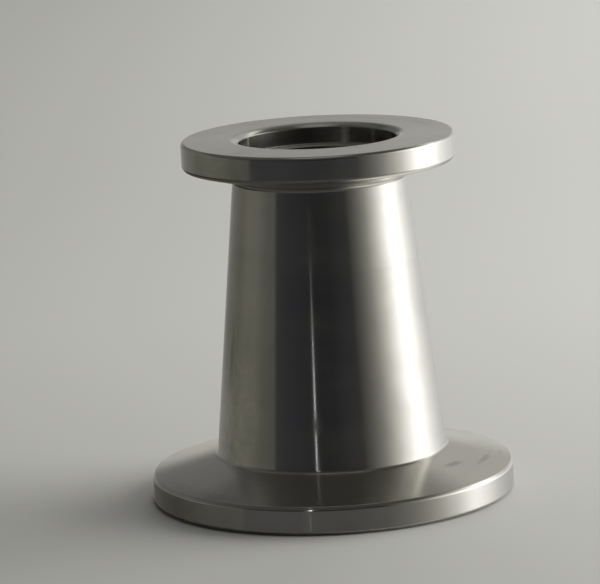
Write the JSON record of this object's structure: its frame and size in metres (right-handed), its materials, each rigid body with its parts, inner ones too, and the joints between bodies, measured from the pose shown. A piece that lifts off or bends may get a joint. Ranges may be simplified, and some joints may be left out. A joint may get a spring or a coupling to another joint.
{
  "type": "conical reducer",
  "caption": "Straight conical reducer with a clamp flange at each end, turned from stainless bar, that joins a larger vacuum pipe to a smaller one.",
  "frame": {"origin": "centre of the large flange's sealing face, which is the bottom of the part", "axes": "+Z along the flow passage, from the large flange to the small flange; X and Y are free, because the part is round"},
  "size_m": [0.04, 0.04, 0.04],
  "materials": {
    "stainless": "fine turned and polished stainless steel"
  },
  "bodies": {
    "root": {"conical_reducer": "stainless"}
  },
  "joints": []
}
